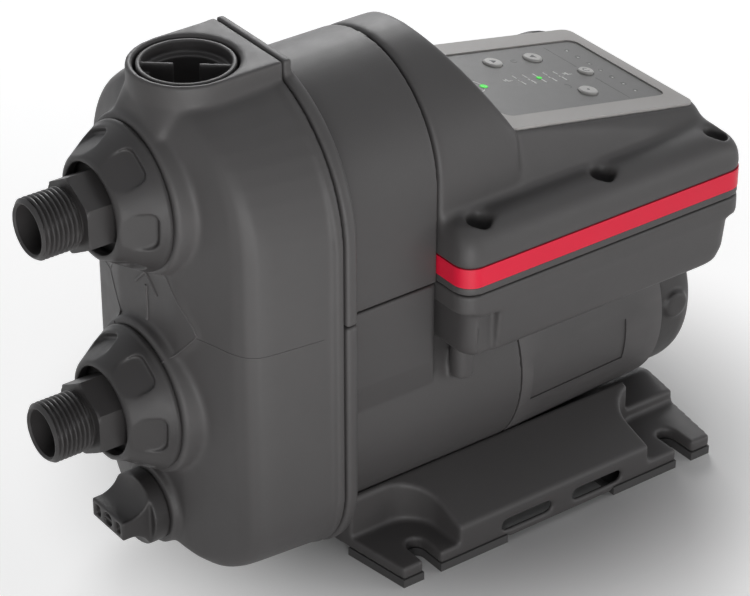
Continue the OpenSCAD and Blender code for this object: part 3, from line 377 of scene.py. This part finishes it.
def blur_group(axis, sharp_at, soft_at, sharp_weight):
    """Node group that evens out a mesh, less so towards one end of an axis."""
    group = bpy.data.node_groups.new("soften", "GeometryNodeTree")
    group.interface.new_socket("Geometry", in_out="INPUT", socket_type="NodeSocketGeometry")
    group.interface.new_socket("Geometry", in_out="OUTPUT", socket_type="NodeSocketGeometry")
    entry = group.nodes.new("NodeGroupInput")
    leave = group.nodes.new("NodeGroupOutput")
    place = group.nodes.new("GeometryNodeInputPosition")
    split = group.nodes.new("ShaderNodeSeparateXYZ")
    weight = group.nodes.new("ShaderNodeMapRange")
    weight.inputs["From Min"].default_value = sharp_at
    weight.inputs["From Max"].default_value = soft_at
    weight.inputs["To Min"].default_value = sharp_weight
    weight.inputs["To Max"].default_value = 1
    blur = group.nodes.new("GeometryNodeBlurAttribute")
    blur.data_type = "FLOAT_VECTOR"
    move = group.nodes.new("GeometryNodeSetPosition")
    group.links.new(place.outputs["Position"], split.inputs["Vector"])
    group.links.new(split.outputs[axis], weight.inputs["Value"])
    group.links.new(weight.outputs["Result"], blur.inputs["Weight"])
    group.links.new(place.outputs["Position"], blur.inputs["Value"])
    group.links.new(entry.outputs["Geometry"], move.inputs["Geometry"])
    group.links.new(blur.outputs["Value"], move.inputs["Position"])
    group.links.new(move.outputs["Geometry"], leave.inputs["Geometry"])
    return group, blur


def soften(node, voxel_mm, rounds, axis="Z", sharp_at=0, soft_at=1, sharp_weight=1):
    """Round the edges of a moulded node as its mould would, sharper towards one end of an axis if asked."""
    obj = nodes[node]
    remesh = obj.modifiers.new("even_mesh", "REMESH")
    remesh.mode = "VOXEL"
    remesh.voxel_size = voxel_mm * MM
    remesh.use_smooth_shade = True
    group, blur = blur_group(axis, sharp_at, soft_at, sharp_weight)
    blur.inputs["Iterations"].default_value = rounds
    obj.modifiers.new("soften", "NODES").node_group = group
    thin = obj.modifiers.new("thin_out", "DECIMATE")
    thin.ratio = KEPT_SHARE


def bevel(node, width_mm):
    """Break the sharp edges of a small node."""
    made = nodes[node].modifiers.new("edge_break", "BEVEL")
    made.width = width_mm * MM
    made.segments = 2
    made.limit_method = "ANGLE"
    made.angle_limit = math.radians(40)


def soften_mouldings():
    """Moulded radii on the housings, covers, nuts and plugs."""
    soften(
        "pump_housing", BODY_VOXEL_MM, 6, "X",
        sharp_at=(JOINT_X_MM - 5) * MM, soft_at=(JOINT_X_MM - 9) * MM, sharp_weight=0.12,
    )
    soften(
        "control_lid", BODY_VOXEL_MM, 18, "Z",
        sharp_at=TRIM_TOP_MM * MM, soft_at=(TRIM_TOP_MM + 6) * MM, sharp_weight=0.04,
    )
    body_rounds = {"control_box": 4, "upper_cover": 2, "motor_housing": 3, "base_plate": 4, "rear_cap": 6}
    for node, rounds in body_rounds.items():
        soften(node, BODY_VOXEL_MM, rounds)
    fitting_rounds = {"outlet_nut": 5, "inlet_nut": 5, "drain_plug": 4, "priming_plug": 2}
    for node, rounds in fitting_rounds.items():
        soften(node, FITTING_VOXEL_MM, rounds)
    for node in ("panel_frame", "trim_band", "foot_pads", "lid_screws", "cable_gland"):
        bevel(node, EDGE_BREAK_MM)


def mesh_piece(name, verts_mm, faces, body, slot, smooth=False):
    """New mesh piece that rides on a body and takes its finish from a slot."""
    mesh = bpy.data.meshes.new(name)
    mesh.from_pydata([Vector(v) * MM for v in verts_mm], [], faces)
    mesh.validate()
    mesh.polygons.foreach_set("use_smooth", [smooth] * len(mesh.polygons))
    obj = bpy.data.objects.new(name, mesh)
    bpy.context.scene.collection.objects.link(obj)
    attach(obj, body)
    mesh.materials.append(materials[slot])
    return obj


def thread_radius(x, turn):
    """Radius of the pipe thread at a place along it and a share of a turn."""
    phase = (x - THREAD_END_MM) / THREAD_PITCH_MM - turn
    ridge = 1 - abs(2 * (phase % 1) - 1)
    crest = min(1, CREST_SLOPE * ridge)
    radius = THREAD_R_MM - THREAD_DEPTH_MM * (1 - crest)
    lead_in = THREAD_R_MM - LEAD_IN_MM + LEAD_IN_SLOPE * (x - THREAD_END_MM)
    run_out = THREAD_R_MM - RUN_OUT_SLOPE * max(0, x - HEX_END_MM + RUN_OUT_L_MM)
    return min(radius, lead_in, max(run_out, THREAD_R_MM - RUN_OUT_DEPTH_MM))


def hexagon_radius(x, turn):
    """Radius of the chamfered hexagon, its corners up and down."""
    angle = (turn * 2 * math.pi) % (math.pi / 3) - math.pi / 6
    chamfer = HEX_FLAT_MM + HEX_CHAMFER_MM + HEX_CHAMFER_SLOPE * (x - HEX_END_MM)
    return min(HEX_FLAT_MM / math.cos(angle), chamfer)


def nipple_rings():
    """Stations round a nipple's section as pairs of place and radius function, front edge first."""
    count = int((HEX_END_MM - THREAD_END_MM) / THREAD_PITCH_MM * SAMPLES_PER_PITCH)
    step = (HEX_END_MM - THREAD_END_MM) / count
    rings = [(THREAD_END_MM + i * step, thread_radius) for i in range(count + 1)]
    flange_front = TILT_X_MM - FLANGE_HALF_T_MM
    flange_back = TILT_X_MM + FLANGE_HALF_T_MM
    for share in HEX_STATIONS:
        rings.append((HEX_END_MM + share * (flange_front - HEX_END_MM), hexagon_radius))
    for x, radius in (
        (flange_front, FLANGE_R_MM - FLANGE_CROWN_MM),
        (TILT_X_MM, FLANGE_R_MM),
        (flange_back, FLANGE_R_MM - FLANGE_CROWN_MM),
        (flange_back, SPIGOT_R_MM),
        (SPIGOT_END_MM, SPIGOT_R_MM),
        (SPIGOT_END_MM, WIDE_BORE_R_MM),
        (NUT_FRONT_MM, WIDE_BORE_R_MM),
        (NUT_FRONT_MM, BORE_R_MM),
        (THREAD_END_MM + MOUTH_DEPTH_MM, BORE_R_MM),
        (THREAD_END_MM, BORE_R_MM + MOUTH_FLARE_MM),
    ):
        rings.append((x, lambda _x, _turn, r=radius: r))
    return rings


def add_nipple(side, height_mm):
    """Pipe nipple with a cut thread in place of the plain solid."""
    steps = RING_STEPS
    rings = nipple_rings()
    verts = []
    for x, radius_at in rings:
        for i in range(steps):
            turn = i / steps
            radius = radius_at(x, turn)
            angle = turn * 2 * math.pi
            verts.append((x, radius * math.sin(angle), height_mm + radius * math.cos(angle)))
    faces = []
    for ring in range(len(rings)):
        after = (ring + 1) % len(rings)
        for i in range(steps):
            j = (i + 1) % steps
            faces.append((ring * steps + i, ring * steps + j, after * steps + j, after * steps + i))
    body = f"{side}_nipple"
    piece = mesh_piece(f"{side}_threaded_nipple", verts, faces, body, "fitting_plastic", smooth=True)
    piece.data.set_sharp_from_angle(angle=math.radians(35))
    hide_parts(body)


def add_spring(side):
    """Coil spring of a check valve, a copy of its node with a mesh of its own, on the fixed body."""
    node = f"{side}_valve_spring"
    spring = bpy.data.objects.new(f"{side}_coil_spring", nodes[node].data.copy())
    spring.matrix_world = nodes[node].matrix_world.copy()
    bpy.context.scene.collection.objects.link(spring)
    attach(spring, FIXED)
    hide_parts(node)
    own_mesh(spring)


def surface_of(node):
    """Search tree over a node's finished surface."""
    bpy.context.view_layer.update()
    return BVHTree.FromObject(nodes[node], bpy.context.evaluated_depsgraph_get())


def add_bead(name, points, radius_mm, body, slot):
    """Fine raised line through points on a surface."""
    data = bpy.data.curves.new(name, "CURVE")
    data.dimensions = "3D"
    data.bevel_depth = radius_mm * MM
    data.bevel_resolution = 2
    data.use_fill_caps = True
    spline = data.splines.new("POLY")
    spline.points.add(len(points) - 1)
    for target, point in zip(spline.points, points):
        target.co = (*point, 1)
    curve = bpy.data.objects.new(name + "_curve", data)
    bpy.context.scene.collection.objects.link(curve)
    bpy.context.view_layer.update()
    mesh = bpy.data.meshes.new_from_object(curve.evaluated_get(bpy.context.evaluated_depsgraph_get()))
    bpy.data.objects.remove(curve)
    bead = bpy.data.objects.new(name, mesh)
    bpy.context.scene.collection.objects.link(bead)
    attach(bead, body)
    mesh.materials.clear()
    mesh.materials.append(materials[slot])
    mesh.shade_smooth()


def straight(start, end, count):
    """Evenly spaced points between two points."""
    return [tuple(a + (b - a) * i / (count - 1) for a, b in zip(start, end)) for i in range(count)]


def on_front(tree, outline_mm):
    """Points of an outline in Y and Z laid on the front of the housing."""
    points = []
    for start, end in zip(outline_mm, outline_mm[1:]):
        for y, z in straight(start, end, STROKE_POINTS):
            hit = tree.ray_cast(Vector((-CAST_FROM, y * MM, z * MM)), Vector((1, 0, 0)))[0]
            if hit:
                points.append(hit)
    return points


def crease_points(tree, side):
    """Level mould line from the front pad round the nose to the joint."""
    centre = Vector((CREASE_CENTRE_X_MM, side * CREASE_CENTRE_Y_MM, CREASE_Z_MM)) * MM
    points = []
    for degrees in CREASE_DEGREES:
        angle = math.radians(degrees)
        out = Vector((-math.cos(angle), side * math.sin(angle), 0))
        hit = tree.ray_cast(centre + CAST_FROM * out, -out)[0]
        if hit and hit.x < CREASE_END_X_MM * MM:
            points.append(hit)
    return points


def add_housing_lines():
    """Mould lines, pad edges and the plain flow arrow on the pump housing."""
    tree = surface_of("pump_housing")
    for side, label in ((-1, "near"), (1, "far")):
        pad_edge = [(side * y, z) for y, z in PAD_EDGE_MM]
        add_bead(f"pad_edge_{label}", on_front(tree, pad_edge), PAD_EDGE_R_MM, FIXED, "housing_plastic")
        add_bead(f"mould_line_{label}", crease_points(tree, side), CREASE_R_MM, FIXED, "housing_plastic")
    for name, stroke in FLOW_STROKES_MM.items():
        add_bead(name, on_front(tree, stroke), FLOW_MARK_R_MM, FIXED, "housing_plastic")


def panel_point(along, across, height):
    """Place on the control panel, in millimetres."""
    return PANEL_ORIGIN_MM + Vector((
        along * math.cos(PANEL_TILT) + height * math.sin(PANEL_TILT),
        across,
        height * math.cos(PANEL_TILT) - along * math.sin(PANEL_TILT),
    ))


def bar(along, across, length, width):
    """Rectangle in the panel plane, its length across the panel."""
    left, right = along - width / 2, along + width / 2
    low, high = across - length / 2, across + length / 2
    return [(left, low), (right, low), (right, high), (left, high)]


def disc(along, across, radius, sides=20):
    """Regular outline in the panel plane, its first corner down the slope."""
    angles = [2 * math.pi * i / sides for i in range(sides)]
    return [(along + radius * math.cos(a), across + radius * math.sin(a)) for a in angles]


def mirrored(shape, along):
    """Outline turned over about a line across the panel."""
    return [(2 * along - u, v) for u, v in reversed(shape)]


def arc(along, across, radius, width, first, last, steps):
    """Short pieces that follow an arc in the panel plane, its ends given in degrees."""
    inner, outer = radius - width / 2, radius + width / 2
    shapes = []
    for i in range(steps):
        a, b = (math.radians(first + (last - first) * (i + k) / steps) for k in (0, 1))
        corners = ((inner, a), (outer, a), (outer, b), (inner, b))
        shapes.append([(along + r * math.cos(t), across + r * math.sin(t)) for r, t in corners])
    return shapes


def tap_icon(along, across):
    """Small drawing of a tap, a handle over a bent spout."""
    return [bar(along + u, across + v, length, width) for u, v, length, width in TAP_BARS_MM]


def drop_icon(along, across):
    """Small drawing of a water drop."""
    return arc(along, across, 1.1, 0.4, 40, 320, 10) + [bar(along + 1.3, across, 0.5, 1.1)]


def dial_icon(along, across):
    """Small drawing of an open ring with a bar in it."""
    return arc(along, across, 1.6, 0.4, 0, 300, 12) + [bar(along, across, 1.6, 0.4)]


def stripes_icon(along, across):
    """Small drawing of three stripes."""
    return [bar(along, across + shift, 0.5, 2.8) for shift in (-1.2, 0, 1.2)]


def add_print(name, shapes, slot, body=FIXED, surface_mm=-MEMBRANE_DEPTH_MM, thickness_mm=PRINT_T_MM):
    """Printed shapes as one thin piece just above the panel's foil or the top of a button."""
    base_mm = surface_mm + PRINT_LIFT_MM
    verts, faces = [], []
    for shape in shapes:
        first, count = len(verts), len(shape)
        for height in (base_mm, base_mm + thickness_mm):
            verts.extend(panel_point(u, v, height) for u, v in shape)
        faces.append(tuple(range(first + count, first + 2 * count)))
        faces.append(tuple(range(first + count - 1, first - 1, -1)))
        for i in range(count):
            j = (i + 1) % count
            faces.append((first + i, first + j, first + count + j, first + count + i))
    mesh_piece(name, verts, faces, body, slot)


def scale_shapes():
    """Columns of level marks between two tap drawings, with a ring round the status light."""
    shapes = []
    for place in TAP_PLACES_MM:
        shapes += tap_icon(*place)
    for column in range(SCALE_COLUMNS):
        along = FIRST_COLUMN_MM + COLUMN_PITCH_MM * column
        across = COLUMN_DRIFT_MM * column
        ticks = [UPPER_TICK_MM, LOWER_TICK_MM]
        if column != LIT_COLUMN:
            ticks.append(MIDDLE_TICK_MM)
        shapes += [bar(along + u, across + v, length, width) for u, v, length, width in ticks]
    return shapes + arc(*STATUS_LIGHT_MM, STATUS_RING_R_MM, 0.6, -50, 340, 30)


def symbol_shapes():
    """Divider, the small dim symbols beside it and the marks by the buttons."""
    shapes = [bar(*sizes) for sizes in DIVIDER_BARS_MM]
    icons = (drop_icon, dial_icon, stripes_icon)
    for i, place in enumerate(SYMBOL_PLACES_MM):
        shapes += icons[i % len(icons)](*place)
    shapes += arc(*SETTING_MARK_MM, 1.8, 0.4, 30, 330, 12)
    return shapes + arc(*POWER_BOW_MM, 3, 0.5, -70, 70, 10)


def add_panel_print():
    """Scale, tap drawings, divider and small symbols of the control panel, without words."""
    add_print("panel_scale", scale_shapes(), "ink")
    add_print("panel_symbols", symbol_shapes(), "dim_ink")
    add_print("symbol_dots", [disc(u - 0.4, v - 0.6, 0.75, 10) for u, v in SYMBOL_PLACES_MM], "ink")
    add_print("scale_light", [disc(*SCALE_LIGHT_MM, SCALE_LIGHT_R_MM)], "light_green", thickness_mm=LENS_T_MM)
    marks = {
        "up_button": [disc(*UP_BUTTON_MM, ARROW_R_MM, 3)],
        "down_button": [mirrored(disc(*DOWN_BUTTON_MM, ARROW_R_MM, 3), DOWN_BUTTON_MM[0])],
        "reset_button": arc(*RESET_BUTTON_MM, 1.8, 0.5, 40, 320, 12),
        "power_button": [disc(*POWER_BUTTON_MM, 0.9)],
    }
    for button, shapes in marks.items():
        add_print(f"{button}_mark", shapes, "dim_ink", button, BUTTON_TOP_MM)


def add_camera():
    """Camera at the photograph's viewing angle."""
    data = bpy.data.cameras.new("camera")
    data.sensor_width = SENSOR_MM
    data.lens = FOCAL_PX / IMAGE_WIDTH_PX * SENSOR_MM
    camera = bpy.data.objects.new("camera", data)
    back = Vector((
        math.sin(CAMERA_AZIMUTH) * math.cos(CAMERA_ELEVATION),
        -math.cos(CAMERA_AZIMUTH) * math.cos(CAMERA_ELEVATION),
        math.sin(CAMERA_ELEVATION),
    ))
    camera.location = CAMERA_TARGET + CAMERA_DISTANCE * back
    camera.rotation_mode = "QUATERNION"
    camera.rotation_quaternion = (-back).to_track_quat("-Z", "Y")
    bpy.context.scene.collection.objects.link(camera)
    bpy.context.scene.camera = camera


def add_lamp(name, place, target, size, watts):
    """Soft square lamp that faces a point."""
    data = bpy.data.lights.new(name, "AREA")
    data.size = size
    data.energy = watts
    lamp = bpy.data.objects.new(name, data)
    lamp.location = place
    lamp.visible_camera = False
    aim = Vector(target) - Vector(place)
    lamp.rotation_mode = "QUATERNION"
    lamp.rotation_quaternion = aim.to_track_quat("-Z", "Y")
    bpy.context.scene.collection.objects.link(lamp)


def seen_directly(tree):
    """Socket that is 1 for rays of the camera and of reflections and 0 for all other light."""
    path = tree.nodes.new("ShaderNodeLightPath")
    seen = tree.nodes.new("ShaderNodeMath")
    seen.operation = "MAXIMUM"
    tree.links.new(path.outputs["Is Camera Ray"], seen.inputs[0])
    tree.links.new(path.outputs["Is Glossy Ray"], seen.inputs[1])
    return seen.outputs["Value"]


def floor_material():
    """Pale matte floor, lifted for the eye and for reflections, the lift faded out near the part so that the
    floor round it carries a painted shadow.
    """
    shader = Shader("studio_floor")
    shader.link(shader.colour(FLOOR_GREY, 0.01, 3), shader.bsdf.inputs["Base Color"])
    shader.bsdf.inputs["Roughness"].default_value = 0.9
    seen = seen_directly(shader.tree)
    coords = shader.node("ShaderNodeTexCoord")
    distance = shader.node("ShaderNodeVectorMath")
    distance.operation = "LENGTH"
    shader.link(coords.outputs["Object"], distance.inputs[0])
    # Lift is zero close to the part and grows outwards, so the floor round the part is darker: a painted
    # shadow
    lift_past_painted_shade = shader.node("ShaderNodeMapRange")
    lift_past_painted_shade.interpolation_type = "SMOOTHSTEP"
    lift_past_painted_shade.inputs["From Min"].default_value = PAINTED_SHADE_CORE
    lift_past_painted_shade.inputs["From Max"].default_value = PAINTED_SHADE_EDGE
    lift_past_painted_shade.inputs["To Max"].default_value = FLOOR_LIFT
    shader.link(distance.outputs["Value"], lift_past_painted_shade.inputs["Value"])
    lift = shader.node("ShaderNodeMath")
    lift.operation = "MULTIPLY"
    shader.link(seen, lift.inputs[0])
    shader.link(lift_past_painted_shade.outputs["Result"], lift.inputs[1])
    shader.bsdf.inputs["Emission Color"].default_value = (1, 1, 1, 1)
    shader.link(lift.outputs["Value"], shader.bsdf.inputs["Emission Strength"])
    return shader.material


def studio_world():
    """Even soft light that looks pale to the eye and in reflections."""
    world = bpy.data.worlds.new("studio_world")
    world.use_nodes = True
    tree = world.node_tree
    background = tree.nodes["Background"]
    background.inputs["Color"].default_value = WORLD_COLOUR
    strength = tree.nodes.new("ShaderNodeMapRange")
    strength.inputs["To Min"].default_value = WORLD_LIGHT
    strength.inputs["To Max"].default_value = WORLD_SEEN
    tree.links.new(seen_directly(tree), strength.inputs["Value"])
    tree.links.new(strength.outputs["Result"], background.inputs["Strength"])
    return world


def add_studio():
    """Pale floor, soft lamps round the part, wide lamps near the floor that face up, and an even world."""
    bpy.context.scene.view_settings.view_transform = "Standard"
    bpy.ops.mesh.primitive_plane_add(size=FLOOR_SIZE, location=(0, 0, FLOOR_Z))
    floor = bpy.context.object
    floor.name = "studio_floor"
    floor.data.materials.append(floor_material())
    bpy.context.scene.world = studio_world()
    for name, place, size, watts in (
        ("key_lamp", (-0.9, -1.5, 0.33), 0.6, 7.8),
        ("fill_lamp", (1.3, -1.2, 0.33), 0.6, 4.2),
        ("rear_lamp", (0.75, 1.2, 0.95), 0.6, 10.5),
        ("top_lamp", (0.6, -0.15, 1.5), 0.7, 0.8),
    ):
        add_lamp(name, place, PART_MIDDLE, size, watts)
    for name, x, y, watts in (("front_bounce", -0.75, -0.9, 8), ("rear_bounce", 0.75, 0.9, 5.5)):
        add_lamp(name, (x, y, BOUNCE_Z), (x, y, 1), BOUNCE_SIZE, watts)


paint_nodes()
soften_mouldings()
add_nipple("outlet", OUTLET_Z_MM)
add_nipple("inlet", INLET_Z_MM)
add_spring("outlet")
add_spring("inlet")
add_housing_lines()
add_panel_print()
add_camera()
add_studio()
bpy.context.view_layer.update()
